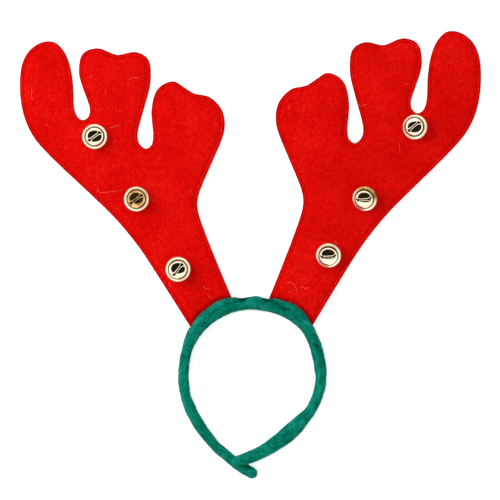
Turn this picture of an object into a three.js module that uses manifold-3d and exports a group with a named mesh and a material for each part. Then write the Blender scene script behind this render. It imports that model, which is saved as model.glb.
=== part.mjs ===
// Reindeer antler headband, in millimetres, +Z up.
// It lies on its back: the plush hoop on its edge, the felt antlers reaching out along +Y, six jingle bells on top.
import * as THREE from 'three';
import { mergeVertices } from 'three/addons/utils/BufferGeometryUtils.js';
import Module from 'manifold-3d';

const wasm = await Module();
wasm.setup();

// Headband
const hoopRadius = 58;
const bandWidth = 8;
const bandDepth = 11.5;
const bandSquareness = 2.6;
const bandSides = 12;
const ringStep = 5.4;
const tipRound = 4;
const tipAngles = [35, 62];
const underShare = 0.55;
const crossingGap = 0.4;

// Antlers
const antlerWidth = 168;
const antlerHeight = 234.6;
const feltThickness = 1.4;
const sheetGap = 0.3;
const padRise = 1.2;
const padSlope = 1.8;
const seamInset = 2.8;
const rootSink = 6;
const tabDepth = 3;
const slotClearance = 0.3;
const padClearance = 1;
const outlineTolerance = 0.3;
const slotTolerance = 0.05;
const leastShare = 0.97;
const spanSteps = 12;

// Bells
const cupRadius = 8;
const shellThickness = 0.5;
const rimWidth = 2;
const rimWall = 1;
const rimSlope = 1.2;
const rimBevel = 0.4;
const lipThickness = 0.5;
const domeRise = 6;
const domeFlange = 0.4;
const domeGroove = 0.65;
const runGap = 0.3;
const loopWire = 0.4;
const loopClearance = 0.4;
const seatGap = 0.3;
const peaRadius = 2.5;
const slotWidth = 0.8;
const forkSpacing = 10.2;
const forkDepth = 2.3;
const forkWidth = 3.3;
const forkNotch = 1;
const bellSides = 14;
const peaSides = 8;
const peaRings = 6;
const arcSteps = 4;

// The hoop from the upper arm's tip, counterclockwise round the head, to the tip of the arm beneath it.
// reach is a share of hoopRadius, width of bandWidth, depth of bandDepth, lift of the height of the crossing.
const bandStations = [
  { turn: -101, reach: 1.156, width: 0.95, depth: 0.62, lift: 1 },
  { turn: -96, reach: 1.117, width: 1.1, depth: 0.62, lift: 1 },
  { turn: -90, reach: 1.066, width: 1.22, depth: 0.62, lift: 1 },
  { turn: -80, reach: 0.997, width: 1.24, depth: 0.68, lift: 0.75 },
  { turn: -70, reach: 0.948, width: 1.41, depth: 0.8, lift: 0.38 },
  { turn: -60, reach: 0.915, width: 1.52, depth: 0.86, lift: 0.1 },
  { turn: -50, reach: 0.893, width: 1.5, depth: 0.9, lift: 0 },
  { turn: -40, reach: 0.893, width: 1.3, depth: 0.95, lift: 0 },
  { turn: -30, reach: 0.917, width: 0.98, depth: 1, lift: 0 },
  { turn: -20, reach: 0.928, width: 0.94, depth: 1, lift: 0 },
  { turn: -10, reach: 0.939, width: 1, depth: 1, lift: 0 },
  { turn: 0, reach: 0.955, width: 0.96, depth: 1, lift: 0 },
  { turn: 10, reach: 0.955, width: 1.13, depth: 1, lift: 0 },
  { turn: 25, reach: 0.981, width: 1.12, depth: 1, lift: 0 },
  { turn: 40, reach: 1.028, width: 1.14, depth: 1, lift: 0 },
  { turn: 50, reach: 1.061, width: 1.45, depth: 1, lift: 0 },
  { turn: 60, reach: 1.074, width: 1.6, depth: 1, lift: 0 },
  { turn: 70, reach: 1.057, width: 1.43, depth: 1, lift: 0 },
  { turn: 80, reach: 1.043, width: 1.23, depth: 1, lift: 0 },
  { turn: 90, reach: 1.038, width: 1.16, depth: 1, lift: 0 },
  { turn: 100, reach: 1.041, width: 1.22, depth: 1, lift: 0 },
  { turn: 110, reach: 1.066, width: 1.58, depth: 1, lift: 0 },
  { turn: 120, reach: 1.057, width: 1.52, depth: 1, lift: 0 },
  { turn: 130, reach: 1.044, width: 1.48, depth: 1, lift: 0 },
  { turn: 140, reach: 1.022, width: 1.3, depth: 1, lift: 0 },
  { turn: 155, reach: 0.983, width: 0.96, depth: 1, lift: 0 },
  { turn: 170, reach: 0.952, width: 0.96, depth: 1, lift: 0 },
  { turn: 185, reach: 0.942, width: 0.95, depth: 1, lift: 0 },
  { turn: 200, reach: 0.941, width: 0.95, depth: 1, lift: 0 },
  { turn: 215, reach: 0.952, width: 1.05, depth: 1, lift: 0 },
  { turn: 230, reach: 0.992, width: 1, depth: 0.96, lift: 0 },
  { turn: 240, reach: 1.043, width: 0.94, depth: 0.78, lift: 0 },
  { turn: 250, reach: 1.105, width: 0.96, depth: underShare, lift: 0 },
  { turn: 259, reach: 1.179, width: 1.03, depth: underShare, lift: 0 },
  { turn: 265.5, reach: 1.246, width: 1.1, depth: underShare, lift: 0 },
  { turn: 270.5, reach: 1.305, width: 1.1, depth: underShare, lift: 0 },
];

// One antler's outline from the outer root corner round its four tines to the inner one.
// x is a share of antlerWidth, y of antlerHeight, both from the middle of the root.
const antlerOutline = [
  { x: 0.066, y: -0.084, corner: true },
  { x: 0.218, y: 0.095 },
  { x: 0.341, y: 0.233 },
  { x: 0.46, y: 0.338 },
  { x: 0.622, y: 0.453 },
  { x: 0.756, y: 0.549 },
  { x: 0.83, y: 0.612 },
  { x: 0.877, y: 0.685 },
  { x: 0.898, y: 0.779 },
  { x: 0.888, y: 0.874 },
  { x: 0.853, y: 0.923 },
  { x: 0.794, y: 0.952 },
  { x: 0.737, y: 0.953 },
  { x: 0.691, y: 0.922 },
  { x: 0.662, y: 0.871 },
  { x: 0.646, y: 0.797 },
  { x: 0.64, y: 0.716 },
  { x: 0.623, y: 0.685 },
  { x: 0.597, y: 0.675 },
  { x: 0.572, y: 0.687 },
  { x: 0.565, y: 0.716 },
  { x: 0.595, y: 0.78 },
  { x: 0.617, y: 0.846 },
  { x: 0.599, y: 0.911 },
  { x: 0.535, y: 0.931 },
  { x: 0.435, y: 0.907, corner: true },
  { x: 0.343, y: 0.917 },
  { x: 0.289, y: 0.893 },
  { x: 0.276, y: 0.818 },
  { x: 0.311, y: 0.707 },
  { x: 0.339, y: 0.621 },
  { x: 0.328, y: 0.589 },
  { x: 0.297, y: 0.573 },
  { x: 0.27, y: 0.588 },
  { x: 0.263, y: 0.62 },
  { x: 0.271, y: 0.706 },
  { x: 0.242, y: 0.785 },
  { x: 0.169, y: 0.813 },
  { x: 0.07, y: 0.77 },
  { x: -0.002, y: 0.758 },
  { x: -0.061, y: 0.715 },
  { x: -0.077, y: 0.648 },
  { x: -0.013, y: 0.516 },
  { x: 0.046, y: 0.411 },
  { x: 0.052, y: 0.361 },
  { x: -0.024, y: 0.199 },
  { x: -0.128, y: 0.012, corner: true },
];

// Where each antler leaves the hoop, which way its outline faces, how large the felt lies against that outline,
// and the share of rootSink between the hoop's outer edge and the middle of the root.
const antlers = [
  { side: 'left', facing: -1, turn: 122.2, wide: 0.998, tall: 0.957, sunk: 0.32 },
  { side: 'right', facing: 1, turn: 59.2, wide: 1, tall: 1, sunk: 1 },
];

// x and y are shares as in the outline. slit is the turn of the slot, and tilt leans the bell towards heading.
const bells = [
  { side: 'left', place: 'outer', x: 0.541, y: 0.615, slit: 37, heading: 270, tilt: 2 },
  { side: 'left', place: 'middle', x: 0.342, y: 0.393, slit: 37.5, heading: 270, tilt: 4.5 },
  { side: 'left', place: 'inner', x: 0.144, y: 0.143, slit: 52.5, heading: 270, tilt: 5.5 },
  { side: 'right', place: 'outer', x: 0.582, y: 0.627, slit: 39, heading: 165, tilt: 11 },
  { side: 'right', place: 'middle', x: 0.344, y: 0.383, slit: 4, heading: 225, tilt: 15 },
  { side: 'right', place: 'inner', x: 0.172, y: 0.19, slit: 4, heading: 260, tilt: 14 },
];

const plush = new THREE.MeshStandardMaterial({ color: 0x07745d, roughness: 0.9, metalness: 0 });
const felt = new THREE.MeshStandardMaterial({ color: 0xdb0a06, roughness: 0.95, metalness: 0 });
const bellMetal = new THREE.MeshStandardMaterial({ color: 0xe6d5ae, roughness: 0.15, metalness: 1 });
const peaSteel = new THREE.MeshStandardMaterial({ color: 0x8c8c90, roughness: 0.4, metalness: 1 });

const radians = THREE.MathUtils.degToRad;

function polar(turn, reach) {
  return new THREE.Vector2(Math.cos(radians(turn)), Math.sin(radians(turn))).multiplyScalar(reach);
}

// A closed geometry as a solid that can be joined and cut.
function solid(source, matrix = new THREE.Matrix4()) {
  const geometry = source.clone().applyMatrix4(matrix);
  geometry.deleteAttribute('normal');
  geometry.deleteAttribute('uv');
  const merged = mergeVertices(geometry, 1e-4);
  const corners = merged.index.array;
  const triangles = [];
  for (let i = 0; i < corners.length; i += 3) {
    const [a, b, c] = corners.slice(i, i + 3);
    if (a !== b && b !== c && c !== a) triangles.push(a, b, c);
  }
  return new wasm.Manifold(new wasm.Mesh({
    numProp: 3,
    vertProperties: new Float32Array(merged.attributes.position.array),
    triVerts: new Uint32Array(triangles),
  }));
}

function geometryOf(manifold) {
  const mesh = manifold.getMesh();
  const geometry = new THREE.BufferGeometry();
  geometry.setAttribute('position', new THREE.BufferAttribute(new Float32Array(mesh.vertProperties), 3));
  geometry.setIndex(new THREE.BufferAttribute(new Uint32Array(mesh.triVerts), 1));
  geometry.computeVertexNormals();
  return geometry;
}

function named(name, geometry, material) {
  const mesh = new THREE.Mesh(geometry, material);
  mesh.name = name;
  return mesh;
}

// A flat outline raised between two heights.
function prism(points, bottom, top) {
  const geometry = new THREE.ExtrudeGeometry(new THREE.Shape(points), { depth: top - bottom, bevelEnabled: false });
  return geometry.translate(0, 0, bottom);
}

// The band's section at any turn of the hoop.
const bandColumns = ['reach', 'width', 'depth', 'lift'];
const bandProfile = new THREE.CubicInterpolant(
  bandStations.map((station) => station.turn),
  bandStations.flatMap((station) => bandColumns.map((column) => station[column])),
  bandColumns.length,
);
const firstTurn = bandStations[0].turn;
const lastTurn = bandStations[bandStations.length - 1].turn;

function bandCentre(turn) {
  return polar(turn, hoopRadius * bandProfile.evaluate(turn)[0]);
}

function bandSection(turn) {
  const nudge = 0.5;
  const before = bandCentre(Math.max(turn - nudge, firstTurn));
  const along = bandCentre(Math.min(turn + nudge, lastTurn)).sub(before).normalize();
  const [, width, depth, lift] = bandProfile.evaluate(turn);
  return {
    centre: bandCentre(turn),
    along,
    outward: new THREE.Vector2(along.y, -along.x),
    width: bandWidth * width,
    depth: bandDepth * depth,
    bottom: Math.max(lift, 0) * (bandDepth * underShare + crossingGap),
  };
}

function bandTurns(from, to) {
  const steps = Math.ceil((to - from) / ringStep);
  return Array.from({ length: steps + 1 }, (_, i) => THREE.MathUtils.lerp(from, to, i / steps));
}

// The rounded square of the band's section, 2 wide and 2 high, with a flat side on each of its four faces.
function sectionPoints() {
  const bend = (value) => Math.sign(value) * Math.abs(value) ** (2 / bandSquareness);
  const reach = bend(Math.cos(Math.PI / bandSides));
  return Array.from({ length: bandSides }, (_, i) => {
    const angle = (2 * Math.PI * (i + 0.5)) / bandSides;
    return new THREE.Vector2(bend(Math.cos(angle)) / reach, bend(Math.sin(angle)) / reach);
  });
}

// Rings of the band, with a few shrinking ones past each end that round its tips.
function bandRings() {
  const body = bandTurns(firstTurn, lastTurn).map((turn) => ({ ...bandSection(turn), past: 0, scale: 1 }));
  const tip = (section, way) => tipAngles.map((angle) => ({
    ...section,
    past: way * tipRound * Math.sin(radians(angle)),
    scale: Math.cos(radians(angle)),
  }));
  return [...tip(body[0], -1).reverse(), ...body, ...tip(body[body.length - 1], 1)];
}

function bandGeometry() {
  const section = sectionPoints();
  const rings = bandRings();
  const positions = [];
  const place = ({ centre, along, outward, width, depth, bottom }, past, x, z) => {
    const at = centre.clone().addScaledVector(along, past).addScaledVector(outward, (x * width) / 2);
    positions.push(at.x, at.y, bottom + (depth / 2) * (1 + z));
  };
  for (const ring of rings) {
    for (const point of section) place(ring, ring.past, ring.scale * point.x, ring.scale * point.y);
  }
  place(rings[0], -tipRound, 0, 0);
  place(rings[rings.length - 1], tipRound, 0, 0);
  const firstApex = rings.length * bandSides;
  const lastRing = firstApex - bandSides;
  const triangles = [];
  for (let j = 0; j < bandSides; j += 1) {
    const next = (j + 1) % bandSides;
    triangles.push(firstApex, j, next);
    triangles.push(firstApex + 1, lastRing + next, lastRing + j);
    for (let start = 0; start < lastRing; start += bandSides) {
      const beyond = start + bandSides;
      triangles.push(start + j, beyond + j, start + next);
      triangles.push(start + next, beyond + j, beyond + next);
    }
  }
  const geometry = new THREE.BufferGeometry();
  geometry.setAttribute('position', new THREE.Float32BufferAttribute(positions, 3));
  return geometry.setIndex(triangles);
}

// The upper half of the hoop as a solid disc, its outer edge moved out by offset.
function hoopDisc(offset, matrix) {
  const edge = bandTurns(0, 180).map((turn) => {
    const { centre, outward, width } = bandSection(turn);
    return centre.addScaledVector(outward, width / 2 + offset);
  });
  return solid(prism(edge, -3 * bandDepth, 3 * bandDepth), matrix);
}

// Fewer points along a line, none of those left out further than the tolerance from it.
function thin(points, tolerance) {
  const first = points[0];
  const last = points[points.length - 1];
  const chord = new THREE.Line3(new THREE.Vector3(first.x, first.y), new THREE.Vector3(last.x, last.y));
  let worst = 0;
  let split = 0;
  points.forEach(({ x, y }, i) => {
    const at = new THREE.Vector3(x, y);
    const away = chord.closestPointToPoint(at, true, new THREE.Vector3()).distanceTo(at);
    if (away > worst) [worst, split] = [away, i];
  });
  if (worst <= tolerance) return [first, last];
  return [...thin(points.slice(0, split + 1), tolerance).slice(0, -1), ...thin(points.slice(split), tolerance)];
}

function antlerEdge(antler) {
  const points = antlerOutline.map(({ x, y }) => new THREE.Vector3(
    antler.facing * antler.wide * x * antlerWidth,
    antler.tall * y * antlerHeight,
  ));
  const corners = antlerOutline.flatMap(({ corner }, i) => (corner ? [i] : []));
  return corners.slice(1).flatMap((to, i) => {
    const curve = new THREE.CatmullRomCurve3(points.slice(corners[i], to + 1), false, 'centripetal');
    return curve.getPoints((to - corners[i]) * spanSteps).slice(i ? 1 : 0);
  });
}

// The edge moved in by inset, or out by a negative one, without the stretches that would run back on themselves.
function movedEdge(edge, inset) {
  const way = Math.sign(THREE.ShapeUtils.area(edge));
  const moved = edge.map((point, i) => {
    const along = edge[Math.min(i + 1, edge.length - 1)].clone().sub(edge[Math.max(i - 1, 0)]).normalize();
    return point.clone().add(new THREE.Vector3(-along.y, along.x).multiplyScalar(way * inset));
  });
  const least = Math.abs(inset) * leastShare;
  return moved.filter((point) => edge.every((other) => point.distanceTo(other) > least));
}

const sheetTop = sheetGap / 2 + feltThickness;
const padTop = sheetTop + padRise;

// A raised middle with sloping sides that stands in the rim of the front sheet.
function padGeometry(edge) {
  const sunk = feltThickness / 2;
  const geometry = new THREE.ExtrudeGeometry(new THREE.Shape(edge), {
    depth: sunk,
    bevelThickness: padRise,
    bevelSize: padSlope,
    bevelOffset: -padSlope,
    bevelSegments: 2,
  });
  return geometry.translate(0, 0, sheetTop - sunk);
}

function boxBetween(bottom, top) {
  const size = 2 * (antlerWidth + antlerHeight);
  return solid(new THREE.BoxGeometry(size, size, top - bottom).translate(0, 0, (bottom + top) / 2));
}

// Part of an ellipse round a point on the axis, from one turn to another in degrees.
function arc(radius, rise, middle, from, to) {
  return Array.from({ length: arcSteps + 1 }, (_, i) => {
    const { x, y } = polar(THREE.MathUtils.lerp(from, to, i / arcSteps), 1);
    return new THREE.Vector2(radius * x, middle + rise * y);
  });
}

function lathe(profile) {
  return new THREE.LatheGeometry(profile, bellSides).rotateX(Math.PI / 2);
}

const rimRadius = cupRadius + rimWidth;
const seatRadius = rimRadius - rimWall;
const cupInside = cupRadius - shellThickness;
const domeRadius = cupInside;
const domeBase = runGap + domeFlange;
const lipBottom = domeBase + runGap;
const lipTop = lipBottom + lipThickness;
const loopDrop = feltThickness + padRise + sheetGap - seatGap - runGap;
const loopRadius = (loopDrop - loopWire) / 2;

// The back half: a bowl whose flange curls over the front half's, with the sewing loop behind it.
function cupGeometry() {
  const flangeTurn = -THREE.MathUtils.radToDeg(Math.asin(shellThickness / cupRadius));
  const bowl = lathe([
    ...arc(cupRadius, cupRadius, 0, -90, flangeTurn),
    new THREE.Vector2(rimRadius - rimBevel, -shellThickness),
    new THREE.Vector2(rimRadius, rimBevel - shellThickness),
    new THREE.Vector2(rimRadius, lipTop - rimSlope),
    new THREE.Vector2(rimRadius - rimSlope, lipTop),
    new THREE.Vector2(domeRadius + domeGroove, lipTop),
    new THREE.Vector2(domeRadius + domeGroove, lipBottom),
    new THREE.Vector2(seatRadius, lipBottom),
    new THREE.Vector2(seatRadius, 0),
    ...arc(cupInside, cupInside, 0, 0, -90),
  ]);
  const loop = new THREE.TorusGeometry(loopRadius, loopWire, 5, 8).rotateX(Math.PI / 2);
  return geometryOf(solid(bowl).add(solid(loop.translate(0, 0, -cupRadius - loopRadius))));
}

// The front half's slot, forked at both ends like a fish's tail.
function slotShape() {
  const forkRoot = (forkSpacing - forkDepth) / 2;
  const forkTip = (forkSpacing + forkDepth) / 2;
  const end = (way) => [
    new THREE.Vector2(way * forkRoot, (-way * slotWidth) / 2),
    new THREE.Vector2(way * forkTip, (-way * forkWidth) / 2),
    new THREE.Vector2(way * (forkTip - forkNotch), 0),
    new THREE.Vector2(way * forkTip, (way * forkWidth) / 2),
    new THREE.Vector2(way * forkRoot, (way * slotWidth) / 2),
  ];
  return [...end(1), ...end(-1)];
}

// The front half: a flatter bowl whose flange is held inside the rim.
function domeGeometry() {
  const shell = lathe([
    ...arc(domeRadius - shellThickness, domeRise - shellThickness, domeBase, 90, 0),
    new THREE.Vector2(domeRadius - shellThickness, runGap),
    new THREE.Vector2(seatRadius - runGap, runGap),
    new THREE.Vector2(seatRadius - runGap, domeBase),
    ...arc(domeRadius, domeRise, domeBase, 0, 90),
  ]);
  return geometryOf(solid(shell).subtract(solid(prism(slotShape(), lipTop, domeBase + 2 * domeRise))));
}

function bellGroup(bell, antler) {
  const group = new THREE.Group();
  group.position.set(
    antler.facing * antler.wide * bell.x * antlerWidth,
    antler.tall * bell.y * antlerHeight,
    padTop + seatGap + cupRadius,
  );
  const heading = radians(bell.heading);
  const hinge = new THREE.Vector3(-Math.sin(heading), Math.cos(heading), 0);
  const slit = new THREE.Quaternion().setFromAxisAngle(new THREE.Vector3(0, 0, 1), radians(bell.slit));
  group.quaternion.setFromAxisAngle(hinge, radians(bell.tilt)).multiply(slit);
  group.updateMatrix();
  return group;
}

// The hole in the front sheet through which a bell's loop reaches its stitches.
function loopHole(bell) {
  const width = 2 * (loopRadius + loopWire + loopClearance);
  const deep = 2 * (feltThickness + padRise);
  const box = new THREE.BoxGeometry(width, 2 * (loopWire + loopClearance), deep);
  return solid(box.translate(0, 0, -cupRadius - deep / 2), bell.matrix);
}

const cup = cupGeometry();
const dome = domeGeometry();
const pea = new THREE.SphereGeometry(peaRadius, peaSides, peaRings);
const headband = new THREE.Group();
let bandSolid = solid(bandGeometry());

for (const antler of antlers) {
  const { centre, width } = bandSection(antler.turn);
  const root = polar(antler.turn, centre.length() + width / 2 - antler.sunk * rootSink);
  const tilted = new THREE.Group();
  tilted.position.set(root.x, root.y, bandDepth / 2);
  tilted.updateMatrix();
  const toHoop = tilted.matrix.clone().invert();

  // The antler drops just enough for its farthest tine to lie on what the hoop lies on.
  const edge = antlerEdge(antler);
  const farthest = Math.max(...edge.map((point) => point.y));
  const tilt = Math.asin(bandDepth / 2 / Math.hypot(farthest, sheetTop)) - Math.atan2(sheetTop, farthest);
  tilted.rotation.x = -tilt;
  tilted.updateMatrix();

  const outline = thin(edge, outlineTolerance);
  const hoop = hoopDisc(-tabDepth, toHoop);
  const back = solid(prism(outline, -sheetTop, -sheetGap / 2)).subtract(hoop);
  const rim = solid(prism(outline, sheetGap / 2, sheetTop)).subtract(hoop);
  const pad = solid(padGeometry(thin(movedEdge(edge, seamInset), outlineTolerance)))
    .subtract(boxBetween(-bandDepth, sheetTop - feltThickness / 4))
    .subtract(hoopDisc(padClearance, toHoop));
  let front = rim.add(pad);

  const own = bells.filter((bell) => bell.side === antler.side);
  for (const bell of own) {
    const name = `bell_${bell.side}_${bell.place}`;
    const group = bellGroup(bell, antler);
    group.add(named(`${name}_cup`, cup, bellMetal), named(`${name}_dome`, dome, bellMetal));
    const ball = named(`${name}_pea`, pea, peaSteel);
    ball.position.copy(group.position);
    ball.position.z -= cupInside - runGap - peaRadius;
    tilted.add(group, ball);
    front = front.subtract(loopHole(group));
  }
  tilted.add(
    named(`antler_${antler.side}_back`, geometryOf(back), felt),
    named(`antler_${antler.side}_front`, geometryOf(front), felt),
  );

  const slotEdge = thin(movedEdge(edge, -slotClearance), slotTolerance);
  const slot = solid(prism(slotEdge, -sheetTop - slotClearance, sheetTop + slotClearance), tilted.matrix);
  bandSolid = bandSolid.subtract(slot.subtract(hoopDisc(-tabDepth - slotClearance)));
  headband.add(tilted);
}
headband.add(named('band', geometryOf(bandSolid), plush));

const box = new THREE.Box3().setFromObject(headband, true);
const middle = box.getCenter(new THREE.Vector3());
headband.position.set(-middle.x, -middle.y, -box.min.z);
headband.updateMatrixWorld(true);

export default headband;
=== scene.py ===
# Reindeer antler headband: red felt antlers sewn with jingle bells, on a green plush band.
import math
import bmesh
import bpy
import numpy as np
from mathutils import Matrix, Vector, geometry
from mathutils.bvhtree import BVHTree


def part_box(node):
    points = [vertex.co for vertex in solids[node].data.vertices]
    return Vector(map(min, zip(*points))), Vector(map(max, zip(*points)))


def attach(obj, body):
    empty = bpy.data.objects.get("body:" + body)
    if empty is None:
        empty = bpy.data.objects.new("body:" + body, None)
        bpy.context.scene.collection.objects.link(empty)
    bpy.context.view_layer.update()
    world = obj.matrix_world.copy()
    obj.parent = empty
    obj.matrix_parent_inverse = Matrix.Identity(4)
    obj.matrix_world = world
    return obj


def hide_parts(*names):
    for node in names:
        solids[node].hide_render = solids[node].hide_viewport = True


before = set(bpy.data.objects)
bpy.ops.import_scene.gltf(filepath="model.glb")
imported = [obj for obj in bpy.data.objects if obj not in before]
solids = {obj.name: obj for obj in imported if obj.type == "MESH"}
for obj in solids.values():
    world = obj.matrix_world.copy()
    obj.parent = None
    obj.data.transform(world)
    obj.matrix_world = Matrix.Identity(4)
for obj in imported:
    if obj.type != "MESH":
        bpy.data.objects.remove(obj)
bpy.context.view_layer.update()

mm = 0.001
scene = bpy.context.scene


# Camera: straight down on the headband, as it was laid out for the photograph
view = {"height": 4800, "middle": (-0.32, 3.92), "across": 400, "sensor": 36}

cameraData = bpy.data.cameras.new("layoutCamera")
cameraData.sensor_width = view["sensor"]
cameraData.lens = view["sensor"] * view["height"] / view["across"]
camera = bpy.data.objects.new("layoutCamera", cameraData)
camera.location = Vector((*view["middle"], view["height"])) * mm
scene.collection.objects.link(camera)
scene.camera = camera


# Shader maths: a Shade is one output socket, and expressions on it add their Math nodes
class Shade:
    def __init__(self, tree, socket=None):
        self.tree = tree
        self.socket = socket

    def node(self, kind, settings=None, sockets=None, output=0):
        made = self.tree.nodes.new(kind)
        for name, value in (settings or {}).items():
            if name == "stops":
                ramp = made.color_ramp.elements
                for _ in range(len(value) - len(ramp)):
                    ramp.new(0.5)
                for element, (position, colour) in zip(ramp, value):
                    element.position = position
                    element.color = (*colour, 1)
            else:
                setattr(made, name, value)
        for name, value in (sockets or {}).items():
            if isinstance(value, Shade):
                self.tree.links.new(value.socket, made.inputs[name])
            else:
                made.inputs[name].default_value = value
        return Shade(self.tree, made.outputs[output] if made.outputs else None)

    def maths(self, operation, *values):
        return self.node("ShaderNodeMath", {"operation": operation}, dict(enumerate(values)))

    def __add__(self, other):
        return self.maths("ADD", self, other)

    def __sub__(self, other):
        return self.maths("SUBTRACT", self, other)

    def __mul__(self, other):
        return self.maths("MULTIPLY", self, other)

    def __truediv__(self, other):
        return self.maths("DIVIDE", self, other)

    def __rsub__(self, other):
        return self.maths("SUBTRACT", other, self)

    __radd__ = __add__
    __rmul__ = __mul__

    def larger(self, other):
        return self.maths("MAXIMUM", self, other)

    def within(self, low, high):
        spread = {"From Min": low, "From Max": high, "Value": self}
        return self.node("ShaderNodeMapRange", {"clamp": True}, spread)

    def between(self, first, second):
        colours = {0: self, 6: first, 7: second}
        return self.node("ShaderNodeMix", {"data_type": "RGBA"}, colours, 2)

    def ramp(self, stops):
        return self.node("ShaderNodeValToRGB", {"stops": stops}, {"Fac": self})

    def stretched(self, scale, turn=0):
        sockets = {"Vector": self, "Scale": scale, "Rotation": (0, 0, math.radians(turn))}
        return self.node("ShaderNodeMapping", {}, sockets)

    def clouds(self, size, detail=3, twist=0.0, rough=0.55):
        sockets = {"Vector": self, "Scale": 1 / (size * mm), "Detail": detail,
                   "Distortion": twist, "Roughness": rough}
        return self.node("ShaderNodeTexNoise", {}, sockets)


def newMaterial(name):
    material = bpy.data.materials.new(name)
    material.use_nodes = True
    material.node_tree.nodes.clear()
    start = Shade(material.node_tree)
    place = start.node("ShaderNodeTexCoord", output="Object")
    return material, start, place


def surface(start, sockets):
    shader = start.node("ShaderNodeBsdfPrincipled", {}, sockets)
    start.node("ShaderNodeOutputMaterial", {}, {"Surface": shader})


def bumped(start, height, depth, strength=1.0):
    return start.node("ShaderNodeBump", {},
                      {"Height": height, "Distance": depth * mm, "Strength": strength})


def painted(start, name):
    return start.node("ShaderNodeAttribute", {"attribute_name": name}, output="Fac")


# Stage: a white, slightly glowing table, even soft light, a large lamp on the left, and what the bells mirror
stage = {
    "white": 0.93, "glow": 0.58, "surround": 0.68, "table": 4, "tableBelow": 0.0001,
    "lamp": 10.5, "lampPlace": (-0.8, 0.4, 1.0), "lampSize": 0.9,
    "tent": 1.5, "tentGlow": (1.32, 1.29, 1.2),
    "flag": 1.1, "flagReach": (57, 38), "flagGlow": (0.012, 0.011, 0.005),
    "flagRounded": 2.4, "flagRaised": 7, "cardSteps": 36,
}


def reflected(name, radius, reach, glow, rounded=2.0, raised=0):
    # a curved card over the table that only the polished bells pick up: reach is its half angles in degrees
    material, start, _ = newMaterial(name)
    shader = start.node("ShaderNodeEmission", {}, {"Color": (*glow, 1), "Strength": 1})
    start.node("ShaderNodeOutputMaterial", {}, {"Surface": shader})
    steps = stage["cardSteps"]
    across, along = np.meshgrid(np.linspace(-1, 1, steps), np.linspace(-1, 1, steps))
    wide = np.radians(reach[0]) * across * np.sqrt(1 - along ** 2 / rounded)
    deep = np.radians(reach[1] * along * np.sqrt(1 - across ** 2 / rounded) + raised)
    away = np.hypot(wide, deep)
    points = np.stack([np.sin(away) * wide / away, np.sin(away) * deep / away, np.cos(away)], -1)
    card = meshPiece(name, points.reshape(-1, 3) * radius, gridFaces(steps, steps), [material])
    card.visible_camera = False
    card.visible_diffuse = False
    card.visible_shadow = False
    card.visible_transmission = False


def setStage():
    scene.view_settings.view_transform = "Standard"
    scene.view_settings.look = "None"
    world = bpy.data.worlds.new("softSurround")
    world.use_nodes = True
    background = world.node_tree.nodes["Background"]
    background.inputs["Color"].default_value = (1, 1, 1, 1)
    background.inputs["Strength"].default_value = stage["surround"]
    scene.world = world

    material, start, _ = newMaterial("paleTable")
    white = (stage["white"],) * 3 + (1,)
    surface(start, {"Base Color": white, "Roughness": 0.8, "Specular IOR Level": 0.1,
                    "Emission Color": white, "Emission Strength": stage["glow"]})
    wide, below = stage["table"], stage["tableBelow"]
    corners = np.array([(x * wide, y * wide, -below) for x, y in ((-1, -1), (1, -1), (1, 1), (-1, 1))])
    meshPiece("paleTable", corners, [(0, 1, 2, 3)], [material])

    lampData = bpy.data.lights.new("softLamp", "AREA")
    lampData.size = stage["lampSize"]
    lampData.energy = stage["lamp"]
    lamp = bpy.data.objects.new("softLamp", lampData)
    lamp.location = stage["lampPlace"]
    lamp.rotation_euler = (-Vector(stage["lampPlace"])).to_track_quat("-Z", "Y").to_euler()
    lamp.visible_glossy = False
    scene.collection.objects.link(lamp)
    reflected("brightTent", stage["tent"], (89, 89), stage["tentGlow"])
    reflected("darkFlag", stage["flag"], stage["flagReach"], stage["flagGlow"],
              stage["flagRounded"], stage["flagRaised"])


# Mesh helpers: everything below is worked out in millimetres and made in metres
def meshPiece(name, points, faces, materials, sharp=None, paint=None, faceMaterials=None):
    mesh = bpy.data.meshes.new(name)
    mesh.from_pydata(np.asarray(points).tolist(), [], [tuple(face) for face in faces])
    for material in materials:
        mesh.materials.append(material)
    if faceMaterials is not None:
        mesh.polygons.foreach_set("material_index", faceMaterials)
    for label, values in (paint or {}).items():
        attribute = mesh.attributes.new(label, "FLOAT", "POINT")
        attribute.data.foreach_set("value", np.asarray(values, float))
    mesh.polygons.foreach_set("use_smooth", [True] * len(mesh.polygons))
    if sharp:
        mesh.set_sharp_from_angle(angle=math.radians(sharp))
    mesh.update()
    piece = bpy.data.objects.new(name, mesh)
    scene.collection.objects.link(piece)
    return piece


def settle(piece, slotName, *nodes):
    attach(piece, "root")
    if nodes:
        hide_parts(*nodes)
    return piece


def gridFaces(columns, rows, wrap=False):
    faces = []
    for row in range(rows - 1):
        for column in range(columns if wrap else columns - 1):
            after = (column + 1) % columns
            faces.append((row * columns + column, row * columns + after,
                          (row + 1) * columns + after, (row + 1) * columns + column))
    return faces


def placed(matrix, points):
    points = np.asarray(points, float) * mm
    turn = np.array(matrix.to_3x3())
    return points @ turn.T + np.array(matrix.translation)


def meshPoints(node):
    mesh = solids[node].data
    points = np.zeros(len(mesh.vertices) * 3)
    mesh.vertices.foreach_get("co", points)
    mesh.calc_loop_triangles()
    triangles = np.zeros(len(mesh.loop_triangles) * 3, int)
    mesh.loop_triangles.foreach_get("vertices", triangles)
    return points.reshape(-1, 3), triangles.reshape(-1, 3)


def ripple(points, length, seed, waves=8):
    random = np.random.default_rng(seed)
    total = np.zeros(len(points))
    for wave in range(waves):
        way = random.normal(size=points.shape[1])
        way *= 2 * math.pi / length * random.uniform(0.6, 1.5) / np.linalg.norm(way)
        total += np.sin(points @ way + random.uniform(0, 2 * math.pi))
    return total / math.sqrt(waves)


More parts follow.
